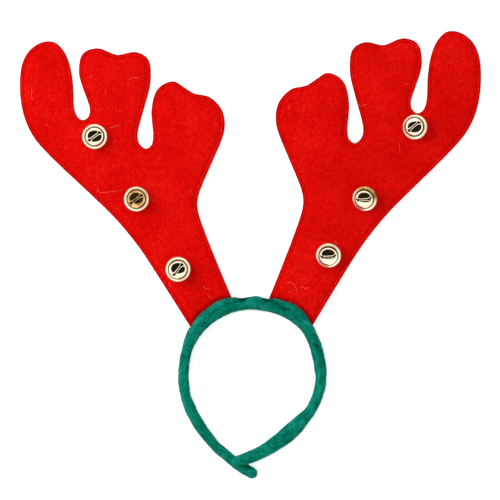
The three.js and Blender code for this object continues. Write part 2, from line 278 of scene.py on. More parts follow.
def tubes(paths, radius, sides=5):
    # one closed tube along each path, with a point at both ends
    points, faces = [], []
    ring = np.linspace(0, 2 * math.pi, sides, endpoint=False)
    for path in paths:
        path = np.asarray(path, float)
        along = np.gradient(path, axis=0)
        along /= np.linalg.norm(along, axis=1)[:, None]
        side = np.cross(along, (0, 0, 1))
        side /= np.linalg.norm(side, axis=1)[:, None] + 1e-9
        up = np.cross(side, along)
        first = len(points)
        for index in range(1, len(path) - 1):
            for turn in ring:
                around = math.cos(turn) * side[index] + math.sin(turn) * up[index]
                points.append(path[index] + radius * around)
        rows = len(path) - 2
        faces += [tuple(first + corner for corner in face) for face in gridFaces(sides, rows, wrap=True)]
        points += [path[0], path[-1]]
        head, tail = len(points) - 2, len(points) - 1
        for index in range(sides):
            after = (index + 1) % sides
            faces.append((head, first + after, first + index))
            faces.append((tail, first + (rows - 1) * sides + index, first + (rows - 1) * sides + after))
    return np.array(points), faces


# Felt: ranges are in millimetres from the cut edge or from the root
felt = {
    "tone": ((0.34, 0.0003, 0.0003), (0.5, 0.0003, 0.0001), (0.715, 0.0018, 0.0008), (0.84, 0.013, 0.008)),
    "threadTone": ((0.3, 0.0003, 0.0001), (0.45, 0.0003, 0.0001), (0.64, 0.002, 0.001), (0.76, 0.009, 0.005)),
    "stops": (0, 0.05, 0.5, 0.95), "hairs": ((12, 0.14), (74, 0.12), (131, 0.16)),   # turn, stretch
    "patches": 0.6, "flecks": 1.3, "specks": 0.5, "strands": 1.1, "strandLevel": 0.62,
    "seam": 2.9, "seamSpread": 0.42, "seamPaintedShade": 0.2,
    "rim": (0.3, 3.0), "rimPaintedHighlight": 0.12, "cut": (0.1, 1.3), "cutEdgePaintedShade": 0.85,
    "underBandShadow": (3, 7), "underBandShadowDepth": 0.65,
}


def redFelt(name, tone, seamPaintedShade):
    material, start, place = newMaterial(name)
    patches = place.clouds(30, 2)
    flecks = place.clouds(2.3, 3, 0.8, 0.6)
    specks = place.clouds(1.1, 2, 0.4)
    hairs = None
    for turn, length in felt["hairs"]:
        strand = place.stretched((1, length, 1), turn).clouds(0.75, 2, 1.2, 0.6)
        hairs = strand if hairs is None else hairs.larger(strand)
    edge = painted(start, "edgeAway")
    # painted shade along the seam groove
    seam = 1 - ((edge - felt["seam"]) * (edge - felt["seam"]) / felt["seamSpread"]).within(0, 1)
    # painted highlight on the raised rim, fading out towards the seam
    rim = 1 - edge.within(*felt["rim"])
    # painted shade along the cut edge; it drives the felt towards its first, darkest tone
    cut = 1 - edge.within(*felt["cut"])
    # painted shadow on the felt where the band overlaps the antler's root
    underBandShadow = 1 - painted(start, "rootAway").within(*felt["underBandShadow"])
    shade = 0.5 + (patches - 0.5) * felt["patches"] + (flecks - 0.5) * felt["flecks"]
    shade = shade + (specks - 0.5) * felt["specks"] + (hairs - felt["strandLevel"]) * felt["strands"]
    shade = shade + rim * felt["rimPaintedHighlight"] - seam * seamPaintedShade - cut * felt["cutEdgePaintedShade"]
    shade = shade - underBandShadow * felt["underBandShadowDepth"]
    surface(start, {
        "Base Color": shade.ramp(list(zip(felt["stops"], tone))),
        "Roughness": 0.86 + (flecks - 0.5) * 0.15,
        "Specular IOR Level": 0.02,
        "Sheen Weight": 0.02, "Sheen Roughness": 0.5, "Sheen Tint": (1, 0.2, 0.15, 1),
        "Normal": bumped(start, hairs * 0.8 + flecks * 0.8 + specks * 0.4, 0.35, 0.75),
    })
    return material


antlerFelt = redFelt("antlerFelt", felt["tone"], felt["seamPaintedShade"])
stitchThread = redFelt("stitchThread", felt["threadTone"], 0)


def paleHair():
    material, start, place = newMaterial("strayHair")
    tone = place.clouds(4).ramp([(0.3, (0.74, 0.14, 0.1)), (0.7, (0.92, 0.5, 0.42))])
    surface(start, {"Base Color": tone, "Roughness": 0.6})
    return material


strayHair = paleHair()
antler = {
    "step": 0.9, "grid": 1.9, "rowShare": 0.866,   # spacing along the cut edge, inside it and between rows
    "corner": 75,                                  # the edge has a corner where it turns by more degrees
    "rings": (0.16, 0.42, 0.8, 1.3, 1.9, 2.4, 2.7, 2.9, 3.1, 3.45, 4.0, 4.8, 5.9, 7.2),
    "spotRings": ((0.001, 1), (0.6, 6), (1.2, 10), (1.8, 14), (2.5, 16), (3.4, 18), (4.4, 20)),
    "spotClear": 5, "backTop": 1.4, "frontUnder": 1.7, "thin": 0.35, "rounding": (0.25, 0.5),
    # heights over the sheet's plane by distance from the edge or the root
    "front": ((0, 2.72), (0.16, 2.95), (0.42, 3.08), (0.8, 3.13), (1.9, 3.06), (2.5, 2.86), (2.9, 2.68),
              (3.25, 2.86), (3.8, 3.2), (4.8, 3.68), (6.2, 4.02), (8.5, 4.24), (12, 4.3)),
    "root": ((0, 3.02), (3.3, 3.02), (4.2, 3.2), (6, 3.7), (9, 4.12), (13, 4.3)),
    "back": ((0, 0.32), (0.16, 0.12), (0.42, 0.02), (0.8, 0), (2.3, 0.02), (2.9, 0.38), (3.5, 0.02),
             (4, 0)),
    "outward": 0.1, "fray": 0.35, "frayLength": 2.3,
    "seam": 2.9, "seamWidth": 0.8, "pitch": 3.3, "stitchSteps": 8, "thread": 0.17,
    "stitchRise": (-0.45, -0.05, 0.1, 0.14, 0.1, -0.05, -0.45), "frontSeam": 2.68, "backSeam": 0.2,
    "fuzz": {"count": 16000, "long": 0.9, "wide": 0.035, "lean": 2.2, "lay": (0, 0, 0), "ruffle": 1.0},
    "strays": {   # pale hairs on the felt, as points along each, in millimetres
        "left": (
            ((-122.6, 54.2), (-121.8, 51.4), (-120.2, 50.0), (-113.9, 50.2), (-107.5, 50.9),
             (-101.3, 52.3)),
            ((-122.0, 51.0), (-123.5, 49.6)),
            ((-114.0, 101.9), (-110.7, 101.8), (-106.7, 103.2), (-103.6, 105.4)),
            ((-97.5, 139.7), (-93.4, 141.5), (-88.3, 141.2)),
            ((-65.0, -21.0), (-64.3, -24.0), (-63.8, -26.6)),
            ((-174.6, 132.8), (-174.9, 128.0), (-174.2, 123.0)),
            ((-37.6, -25.4), (-34.4, -27.3), (-31.9, -26.8)),
            ((-34.1, -30.6), (-32.9, -33.8), (-29.8, -34.4)),
        ),
        "right": (
            ((28.5, -22.4), (32.6, -22.2), (36.5, -26.3), (37.4, -29.8)),
            ((118.3, 89.4), (119.4, 86.2), (118.9, 82.5)),
            ((84.2, 121.0), (88.5, 119.4), (93.1, 120.3)),
            ((28.6, -28.9), (30.9, -30.1), (33.4, -29.2)),
            ((40.6, -24.6), (44.2, -26.9), (47.6, -25.2)),
            ((31.0, -36.4), (32.3, -38.9), (35.6, -40.6)),
        ),
        "lint": 30, "lintLong": (1.2, 4.5), "thick": 0.06,
    },
    "swell": 0.2, "swellLength": 34, "looseEdge": (3, 9), "looseRoot": (5, 14), "pucker": 0.14,
    "sink": 2.2, "sinkWidth": 1.7, "dish": 0.3, "dishWidth": 8,   # dents under the bells
}


def edgeOf(node):
    # a back sheet's plane and its edge in that plane, counterclockwise, in millimetres
    work = bmesh.new()
    work.from_mesh(solids[node].data)
    bmesh.ops.remove_doubles(work, verts=work.verts, dist=0.002 * mm)
    # a list, since the order of a set of faces changes from run to run
    under = [face for face in work.faces if face.normal.z < -0.9]
    up = -sum((face.normal * face.calc_area() for face in under), Vector()).normalized()
    along = up.cross(Vector((1, 0, 0)))
    spot = under[0].verts[0].co
    origin = Vector((0, 0, spot.dot(up) / up.z))
    plane = Matrix((Vector((1, 0, 0)), along, up)).transposed().to_4x4()
    plane.translation = origin
    following = {}
    for face in under:
        for loop in face.loops:
            other = [linked for linked in loop.edge.link_faces if linked is not face]
            if not other or other[0].normal.z >= -0.9:
                following[loop.link_loop_next.vert] = loop.vert   # the underside turns the other way
    vert = next(iter(following))
    edge = []
    for _ in range(len(following)):
        edge.append(vert)
        vert = following[vert]
    back = plane.inverted()
    points = np.array([(back @ vert.co)[:2] for vert in edge]) / mm
    work.free()
    return plane, points


def splineRun(points):
    # centripetal Catmull-Rom through a run of points
    ends = [2 * points[0] - points[1], *points, 2 * points[-1] - points[-2]]
    out = []
    for index in range(1, len(ends) - 2):
        four = ends[index - 1:index + 3]
        knots = np.cumsum([0] + [math.sqrt(np.linalg.norm(four[n + 1] - four[n])) for n in range(3)])
        for time in np.linspace(knots[1], knots[2], 12, endpoint=False):
            level = four
            for width in (1, 2, 3):
                level = [((knots[n + width] - time) * level[n] + (time - knots[n]) * level[n + 1])
                         / (knots[n + width] - knots[n]) for n in range(4 - width)]
            out.append(level[0])
    return np.array(out + [points[-1]])


def evenSteps(run, step):
    lengths = np.r_[0, np.cumsum(np.linalg.norm(np.diff(run, axis=0), axis=1))]
    count = max(2, round(lengths[-1] / step))
    spots = np.linspace(0, lengths[-1], count + 1)
    return np.stack([np.interp(spots, lengths, run[:, axis]) for axis in (0, 1)], 1)


def smoothEdge(points):
    ahead = np.roll(points, -1, 0) - points
    behind = points - np.roll(points, 1, 0)
    turn = np.degrees(np.abs(np.arctan2(behind[:, 0] * ahead[:, 1] - behind[:, 1] * ahead[:, 0],
                                        (behind * ahead).sum(1))))
    corners = np.flatnonzero(turn > antler["corner"])
    runs = []
    for first, last in zip(corners, np.r_[corners[1:], corners[0] + len(points)]):
        run = points[np.arange(first, last + 1) % len(points)]
        runs.append(evenSteps(splineRun(run), antler["step"])[:-1])
    return runs


def awayFrom(points, start, end):
    # distance of each point to the nearest of the segments, and how far along them that is
    lengths = np.linalg.norm(end - start, axis=1)
    before = np.cumsum(lengths) - lengths
    best = np.full(len(points), 1e9)
    along = np.zeros(len(points))
    for low in range(0, len(points), 2000):
        part = points[low:low + 2000, None]
        share = np.clip(((part - start) * (end - start)).sum(2) / lengths ** 2, 0, 1)
        away = np.linalg.norm(part - start - share[..., None] * (end - start), axis=2)
        nearest = away.argmin(1)
        rows = np.arange(len(nearest))
        best[low:low + 2000] = away[rows, nearest]
        along[low:low + 2000] = (before + share * lengths)[rows, nearest]
    return best, along


def insideEdge(points, loop):
    after = np.roll(loop, -1, 0)
    inside = np.zeros(len(points), bool)
    for (ax, ay), (bx, by) in zip(loop, after):
        crosses = (ay > points[:, 1]) != (by > points[:, 1])
        reach = ax + (points[:, 1] - ay) / (by - ay if by != ay else 1e-9) * (bx - ax)
        inside ^= crosses & (points[:, 0] < reach)
    return inside


def insetLine(loop, distance):
    after, before = np.roll(loop, -1, 0), np.roll(loop, 1, 0)
    way = after - before
    way /= np.linalg.norm(way, axis=1)[:, None]
    moved = loop + distance * np.stack([-way[:, 1], way[:, 0]], 1)
    away, _ = awayFrom(moved, loop, after)
    return moved, (away > distance - 0.03) & insideEdge(moved, loop)


class Sheet:
    # the flat cut of one antler: its points, triangles, edge, and how far each point is from edge and root
    def __init__(self, node, spots):
        self.plane, raw = edgeOf(node)
        runs = smoothEdge(raw)
        hoop = np.array((0, raw[:, 1].min() - 60))
        self.root = min(runs, key=lambda run: np.linalg.norm(run.mean(0) - hoop))
        index = next(n for n, run in enumerate(runs) if run is self.root)
        runs = runs[index + 1:] + runs[:index + 1]
        self.loop = np.concatenate(runs)
        self.sides = len(self.loop) - len(self.root)
        points = [self.loop]
        for distance in antler["rings"]:
            moved, good = insetLine(self.loop, distance)
            points.append(moved[good])
        low, high = self.loop.min(0), self.loop.max(0)
        spacing = antler["grid"]
        rows = np.arange(low[1], high[1], spacing * antler["rowShare"])
        grid = np.array([(x + (row % 2) * spacing / 2, y) for row, y in enumerate(rows)
                         for x in np.arange(low[0], high[0], spacing)])
        grid = grid[insideEdge(grid, self.loop)]
        away, _ = awayFrom(grid, self.loop, np.roll(self.loop, -1, 0))
        grid = grid[away > antler["rings"][-1] + spacing / 2]
        for spot in spots:
            near = np.linalg.norm(grid - spot, axis=1)
            grid = grid[near > antler["spotClear"]]
            for radius, count in antler["spotRings"]:
                turn = np.linspace(0, 2 * math.pi, count, endpoint=False)
                points.append(spot + radius * np.stack([np.cos(turn), np.sin(turn)], 1))
        points = np.concatenate(points + [grid])
        count = len(self.loop)
        edges = [(n, (n + 1) % count) for n in range(count)]
        made = geometry.delaunay_2d_cdt([Vector(point) for point in points], edges,
                                        [list(range(count))], 1, 1e-4)
        self.points = np.array([tuple(vert) for vert in made[0]])
        self.faces = made[2]
        place = {old: new for new, olds in enumerate(made[3]) for old in olds}
        self.edge = [place[n] for n in range(count)]
        after = np.roll(self.loop, -1, 0)
        sides = self.sides
        self.edgeAway, self.along = awayFrom(self.points, self.loop[:sides], after[:sides])
        self.rootAway, _ = awayFrom(self.points, self.loop[sides:], after[sides:])


def feltSheet(name, sheet, top, bottom):
    # the sheet's top and underside, joined by a cut edge that bulges and frays a little
    count = len(sheet.points)
    edge = np.array(sheet.edge)
    after = np.roll(edge, -1)
    way = sheet.points[after] - sheet.points[np.roll(edge, 1)]
    way /= np.linalg.norm(way, axis=1)[:, None]
    fray = 1 + antler["fray"] * ripple(sheet.points[edge], antler["frayLength"], 5)
    outward = (antler["outward"] * fray)[:, None] * np.stack([way[:, 1], -way[:, 0]], 1)
    middle = np.c_[sheet.points[edge] + outward, (top[edge] + bottom[edge]) / 2]
    points = np.concatenate([np.c_[sheet.points, top], np.c_[sheet.points, bottom], middle])
    ring = np.arange(len(edge)) + 2 * count
    ringAfter = np.roll(ring, -1)
    faces = [tuple(face) for face in sheet.faces]
    faces += [tuple(corner + count for corner in reversed(face)) for face in sheet.faces]
    faces += list(zip(ring, ringAfter, after, edge))
    faces += list(zip(edge + count, after + count, ringAfter, ring))
    edgeAway = np.r_[sheet.edgeAway, sheet.edgeAway, np.zeros(len(edge))]
    rootAway = np.r_[sheet.rootAway, sheet.rootAway, sheet.rootAway[edge]]
    return meshPiece(name, placed(sheet.plane, points), faces, [antlerFelt],
                     paint={"edgeAway": edgeAway, "rootAway": rootAway})


def soften(values, low, high):
    share = np.clip((values - low) / (high - low), 0, 1)
    return share * share * (3 - 2 * share)


def frontTop(sheet, spots, seed):
    height = np.minimum(np.interp(sheet.edgeAway, *zip(*antler["front"])),
                        np.interp(sheet.rootAway, *zip(*antler["root"])))
    loose = soften(sheet.edgeAway, *antler["looseEdge"]) * soften(sheet.rootAway, *antler["looseRoot"])
    height += loose * antler["swell"] * (ripple(sheet.points, antler["swellLength"], seed) - 0.6)
    groove = np.exp(-((sheet.edgeAway - antler["seam"]) / antler["seamWidth"]) ** 2)
    height += groove * antler["pucker"] * np.cos(2 * math.pi * sheet.along / antler["pitch"])
    for spot in spots:
        away = np.linalg.norm(sheet.points - spot, axis=1)
        height -= antler["sink"] * np.exp(-(away / antler["sinkWidth"]) ** 2)
        height -= antler["dish"] * np.exp(-(away / antler["dishWidth"]) ** 2)
    return height


def seamStitches(sheet, seamHeight, lift):
    # the running stitches round the antler, each dipping into the felt at its ends
    moved, good = insetLine(sheet.loop, antler["seam"])
    runs, run = [], []
    for index in range(sheet.sides):
        if good[index]:
            run.append(moved[index])
        elif run:
            runs.append(run)
            run = []
    runs.append(run)
    paths = []
    steps, rise = antler["stitchSteps"], np.array(antler["stitchRise"]) * lift
    for run in runs:
        if len(run) < 5:
            continue
        line = evenSteps(np.array(run), antler["pitch"] / steps)
        for first in range(1, len(line) - steps, steps):
            paths.append(np.c_[line[first:first + len(rise)], seamHeight + rise])
    return paths


def makeStrays(name, front, side, seed):
    # pale hairs caught on the felt: the longer ones that show, and short lint all over
    sizes = antler["strays"]
    tree = BVHTree.FromObject(front, bpy.context.evaluated_depsgraph_get())
    random = np.random.default_rng(seed)
    low, high = (np.array(corner)[:2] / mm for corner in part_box(f"antler_{side}_front"))
    lines = [np.array(line, float) for line in sizes[side]]
    for _ in range(sizes["lint"]):
        start, turn = random.uniform(low, high), random.uniform(0, 2 * math.pi)
        reach, bend = random.uniform(*sizes["lintLong"]), random.normal(0, 0.5)
        steps = [start]
        for _ in range(4):
            steps.append(steps[-1] + reach / 4 * np.array((math.cos(turn), math.sin(turn))))
            turn += bend
        lines.append(np.array(steps))
    paths = []
    for line in lines:
        drape = []
        for x, y in evenSteps(splineRun(line), 0.8):
            hit = tree.ray_cast(Vector((x * mm, y * mm, 0.05)), Vector((0, 0, -1)))[0]
            if hit:
                drape.append((x, y, hit.z / mm + 0.05 + 0.12 * math.sin(len(drape) * 1.9)))
        if len(drape) > 3:
            paths.append(drape)
    points, faces = tubes(paths, sizes["thick"], 4)
    settle(meshPiece(name, points * mm, faces, [strayHair]), "felt_red")


def makeSpikes(name, cover, sizes, material, slotName, seed):
    # closed spikes all over a cover: long and wide are their size, lean and lay how they lie,
    # ruffle how unevenly
    mesh = cover.data
    mesh.calc_loop_triangles()
    points = np.zeros(len(mesh.vertices) * 3)
    mesh.vertices.foreach_get("co", points)
    points = points.reshape(-1, 3) / mm
    triangles = np.zeros(len(mesh.loop_triangles) * 3, int)
    mesh.loop_triangles.foreach_get("vertices", triangles)
    triangles = triangles.reshape(-1, 3)
    corners = points[triangles]
    normals = np.cross(corners[:, 1] - corners[:, 0], corners[:, 2] - corners[:, 0])
    areas = np.linalg.norm(normals, axis=1) + 1e-12
    normals /= areas[:, None]
    random = np.random.default_rng(seed)
    count = sizes["count"]
    chosen = random.choice(len(triangles), count, p=areas / areas.sum())
    share = random.dirichlet((1, 1, 1), count)
    base = (corners[chosen] * share[..., None]).sum(1)
    up = normals[chosen]
    way = up + sizes["lean"] * (np.cross(up, sizes["lay"]) + random.normal(0, sizes["ruffle"], up.shape))
    way /= np.linalg.norm(way, axis=1)[:, None]
    way += up * np.maximum(0, 0.15 - (way * up).sum(1))[:, None]
    side = np.cross(way, random.normal(size=way.shape))
    side /= np.linalg.norm(side, axis=1)[:, None]
    other = np.cross(way, side)
    wide = sizes["wide"]
    tips = base + way * (sizes["long"] * random.uniform(0.6, 1.2, count))[:, None]
    base = base - up * 0.05
    made = np.stack([base + side * wide, base - side * wide / 2 + other * wide * 0.87,
                     base - side * wide / 2 - other * wide * 0.87, tips], 1)
    made[..., 2] = np.maximum(made[..., 2], 0.02)
    first = np.arange(count)[:, None] * 4
    faces = np.concatenate([first + corner for corner in ((0, 1, 3), (1, 2, 3), (2, 0, 3), (0, 2, 1))])
    paint = {}
    for label in ("edgeAway", "rootAway", "crease", "along", "reach"):
        if label in mesh.attributes:
            values = np.zeros(len(points))
            mesh.attributes[label].data.foreach_get("value", values)
            paint[label] = np.repeat((values[triangles[chosen]] * share).sum(1), 4)
    settle(meshPiece(name, made.reshape(-1, 3) * mm, faces.tolist(), [material], paint=paint), slotName)
    print(f"{name}: {count} hairs")


def bellSpots(side):
    # where each bell's loop meets the felt, in the sheet's plane
    spots = []
    for place in bell["places"]:
        matrix = bellFrame(f"bell_{side}_{place}")
        spots.append(matrix @ Vector((0, 0, -(bell["radius"] + bell["loop"]) * mm)))
    return spots


def makeAntler(side, seed):
    title = side.capitalize()
    plane, _ = edgeOf(f"antler_{side}_back")
    spots = [np.array((plane.inverted() @ spot)[:2]) / mm for spot in bellSpots(side)]
    sheet = Sheet(f"antler_{side}_back", spots)
    under = np.interp(sheet.edgeAway, *zip(*antler["back"]))
    rounding, reach = antler["rounding"]
    rounded = rounding * (1 - soften(sheet.edgeAway, 0, reach))
    back = feltSheet(f"antler{title}Back", sheet, antler["backTop"] - rounded, under)
    settle(back, "felt_red", f"antler_{side}_back")

    # the front sheet's hem is tacked to the back, and its middle is padded from inside
    top = frontTop(sheet, spots, seed)
    hem = np.minimum(antler["frontUnder"] + rounded, top - antler["thin"])
    front = feltSheet(f"antler{title}Front", sheet, top, hem)
    settle(front, "felt_red", f"antler_{side}_front")

    paths = seamStitches(sheet, antler["frontSeam"], 1) + seamStitches(sheet, antler["backSeam"], -1)
    points, faces = tubes(paths, antler["thread"])
    far = np.full(len(points), 20.0)   # thread has neither cut edge nor root
    thread = meshPiece(f"antler{title}Stitches", placed(plane, points), faces, [stitchThread],
                       paint={"edgeAway": far, "rootAway": far})
    settle(thread, "felt_red")
    makeSpikes(f"antler{title}Fuzz", front, antler["fuzz"], antlerFelt, "felt_red", seed)
    makeStrays(f"antler{title}Strays", front, side, seed)


# Bells
def bellBrass():
    material, start, place = newMaterial("bellBrass")
    stain = place.clouds(5, 3, 0.4)
    grain = place.clouds(0.5, 2)
    groove, rolled, worn = (painted(start, name) for name in ("groove", "rolled", "worn"))
    bright = stain.ramp([(0.25, (0.86, 0.73, 0.5)), (0.5, (0.93, 0.83, 0.65)), (0.8, (0.96, 0.9, 0.76))])
    # dull: painted shade and tarnish in the grooves
    dull = stain.ramp([(0.3, (0.11, 0.055, 0.017)), (0.7, (0.28, 0.16, 0.06))])
    # a painted brown reflection on two of the bells, set per bell
    reflectedBrown = stain.ramp([(0.38, (0.27, 0.12, 0.012)), (0.62, (0.88, 0.6, 0.2))])
    surface(start, {
        "Base Color": groove.between(worn.between(bright, reflectedBrown), dull),
        "Metallic": 1.0,
        "Roughness": 0.02 + stain * 0.05 + grain * 0.03 + groove * 0.3 + rolled * 0.26 + worn * 0.14,
        "Normal": bumped(start, grain + stain * 2, 0.02, 0.5),
    })
    return material


def bellInside():
    # the inside of cup and dome: a very dark colour that paints the shade inside the bell, with tarnish
    material, start, place = newMaterial("bellInside")
    tarnish = place.clouds(3, 3)
    surface(start, {
        "Base Color": tarnish.ramp([(0.3, (0.05, 0.035, 0.02)), (0.7, (0.13, 0.095, 0.055))]),
        "Metallic": 1.0,
        "Roughness": 0.5 + tarnish * 0.2,
        "Normal": bumped(start, tarnish, 0.03, 0.5),
    })
    return material


def peaSteel():
    material, start, place = newMaterial("peaSteel")
    scuffs = place.clouds(0.8, 4, 0.5)
    surface(start, {
        "Base Color": scuffs.ramp([(0.3, (0.25, 0.24, 0.22)), (0.7, (0.5, 0.48, 0.45))]),
        "Metallic": 1.0,
        "Roughness": 0.25 + scuffs * 0.3,
        "Normal": bumped(start, scuffs, 0.02, 0.6),
    })
    return material


brass, insideShadeAndTarnish, steel = bellBrass(), bellInside(), peaSteel()
bell = {
    "places": ("outer", "middle", "inner"), "sides": 72,
    "radius": 8, "shell": 0.5, "rim": 10, "lipTop": 1.5,
    "domeRadius": 7.5, "domeCap": 3.4, "domeWall": 2.3, "domeBase": 0.7, "flange": 8.4, "flangeUnder": 0.3,
    "loop": 0.95, "wire": 0.4, "pea": 2.5,
    # how much painted brown reflection shows on the dome and on the cup, and towards which side it shows most
    # on the cup
    "worn": {"bellLeftMiddle": (0.9, 0.35), "bellRightMiddle": (0.1, 1.3)}, "paintedReflectionSide": (0.5, 0.87, 0),
    "slot": 1.1, "forkSpacing": 10.2, "forkDepth": 2.6, "forkWidth": 3.6, "forkNotch": 0.9,
    "slotLips": ((0, 0.42), (0.25, 0.2), (0.5, 0.03), (0.65, 0)),   # distance from the slot, drop
    # the cup's section, as radius and height: its shoulder, its rolled rim, and the seat of the dome
    "shoulder": ((8.2, -0.66), (8.6, -0.6), (9.7, -0.59), (9.88, -0.56)),
    "bead": ((9.98, -0.42), (9.99, -0.3), (9.94, -0.19), (9.84, -0.09), (9.3, 0.34), (8.7, 0.82), (8.2, 1.22),
             (7.9, 1.46), (7.82, 1.5), (7.74, 1.44), (7.7, 1.2), (7.72, 0.95), (7.86, 0.86)),
    "seat": ((8.2, 0.8), (8.6, 0.7), (8.68, 0.62), (8.7, 0.5), (8.7, 0.1), (8.6, 0), (7.6, 0)),
    # painted shade and tarnish in the grooves, by radius on the cup and on the dome
    "cupGroove": ((7.86, 1), (8.0, 0.5), (8.6, 0), (9.6, 0), (9.9, 0.75)),
    "domeGroove": ((6.95, 0), (7.2, 1)),
}


def centreOf(points, triangles):
    a, b, c = (points[triangles[:, n]] for n in range(3))
    volumes = np.einsum("ij,ij->i", a, np.cross(b, c))
    return ((a + b + c) * volumes[:, None]).sum(0) / 4 / volumes.sum()


def bellFrame(name):
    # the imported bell's place: z out through its dome, x along its slot
    points, triangles = meshPoints(f"{name}_cup")
    middle = centreOf(points, triangles)
    axis = centreOf(*meshPoints(f"{name}_dome")) - middle
    axis /= np.linalg.norm(axis)
    heights = points @ axis
    centre = middle + axis * (heights.max() - bell["lipTop"] * mm - middle @ axis)
    loop = points[heights < centre @ axis - (bell["radius"] + bell["loop"]) * mm] - centre
    loop -= np.outer(loop @ axis, axis)
    across = np.linalg.svd(loop)[2][0]
    across -= axis * (across @ axis)
    across /= np.linalg.norm(across)
    matrix = Matrix((Vector(across), Vector(np.cross(axis, across)), Vector(axis))).transposed().to_4x4()
    matrix.translation = Vector(centre)
    return matrix


def arc(radius, rise, base, first, last, steps):
    turns = np.radians(np.linspace(first, last, steps))
    return [(radius * math.cos(turn), base + rise * math.sin(turn)) for turn in turns]


def turned(profile, sides):
    # a closed profile from the axis and back to it, spun round z
    rings = profile[1:-1]
    spin = np.linspace(0, 2 * math.pi, sides, endpoint=False)
    points = [(r * math.cos(a), r * math.sin(a), z) for r, z in rings for a in spin]
    faces = gridFaces(sides, len(rings), wrap=True)
    points += [(0, 0, profile[0][1]), (0, 0, profile[-1][1])]
    last = (len(rings) - 1) * sides
    for index in range(sides):
        after = (index + 1) % sides
        faces.append((len(points) - 2, after, index))
        faces.append((len(points) - 1, last + index, last + after))
    return np.array(points), faces


def ringTube(radius, wire, middle, steps=24, sides=10):
    # a wire loop in the xz plane
    points = []
    for turn in np.linspace(0, 2 * math.pi, steps, endpoint=False):
        for side in np.linspace(0, 2 * math.pi, sides, endpoint=False):
            reach = radius + wire * math.cos(side)
            points.append((reach * math.cos(turn), wire * math.sin(side), middle + reach * math.sin(turn)))
    faces = []
    for row in range(steps):
        for column in range(sides):
            corners = ((row, column), (row + 1, column), (row + 1, column + 1), (row, column + 1))
            faces.append(tuple(r % steps * sides + c % sides for r, c in corners))
    return np.array(points), faces


def makeCup(name, matrix):
    sizes = bell
    outer, inner = sizes["radius"], sizes["radius"] - sizes["shell"]
    profile = [
        (0, -outer), *arc(outer, outer, 0, -88, -5, 22), *sizes["shoulder"], *sizes["bead"], *sizes["seat"],
        *arc(inner, inner, 0, -1, -88, 22), (0, -inner)]
    points, faces = turned(profile, sizes["sides"])
    more, moreFaces = ringTube(sizes["loop"], sizes["wire"], -outer - sizes["loop"])
    faceMaterials = []
    for face in faces:
        middle = points[list(face)].mean(0)
        faceMaterials.append(int(np.linalg.norm(middle) < (outer + inner) / 2))
    faces = faces + [tuple(corner + len(points) for corner in face) for face in moreFaces]
    faceMaterials += [0] * len(moreFaces)
    points = np.concatenate([points, more])
    reach = np.hypot(points[:, 0], points[:, 1])
    groove = np.interp(reach, *zip(*sizes["cupGroove"])) * (points[:, 2] > -0.5)
    rolled = (reach > 7.8) * (points[:, 2] > -0.35)
    _, worn = sizes["worn"].get(name.removesuffix("Cup"), (0, 0))
    whole = placed(matrix, points)
    # the painted reflection is strongest towards one side of the cup
    uphill = (whole - whole.mean(0)) @ sizes["paintedReflectionSide"] / (sizes["rim"] * mm)
    paint = {"groove": groove, "rolled": rolled, "worn": np.clip(worn * (uphill + 0.2), 0, 1)}
    return meshPiece(name, whole, faces, [brass, insideShadeAndTarnish], sharp=50, paint=paint,
                     faceMaterials=faceMaterials)


def slotEdge():
    # the slot with its forked ends, counterclockwise, in steps of about 0.45 mm
    sizes = bell
    root = (sizes["forkSpacing"] - sizes["forkDepth"]) / 2
    tip = (sizes["forkSpacing"] + sizes["forkDepth"]) / 2
    corners = []
    for way in (1, -1):
        corners += [(way * root, -way * sizes["slot"] / 2), (way * tip, -way * sizes["forkWidth"] / 2),
                    (way * (tip - sizes["forkNotch"]), 0), (way * tip, way * sizes["forkWidth"] / 2),
                    (way * root, way * sizes["slot"] / 2)]
    corners = np.array(corners)
    runs = [evenSteps(np.array([a, b]), 0.45)[:-1] for a, b in zip(corners, np.roll(corners, -1, 0))]
    return np.concatenate(runs)


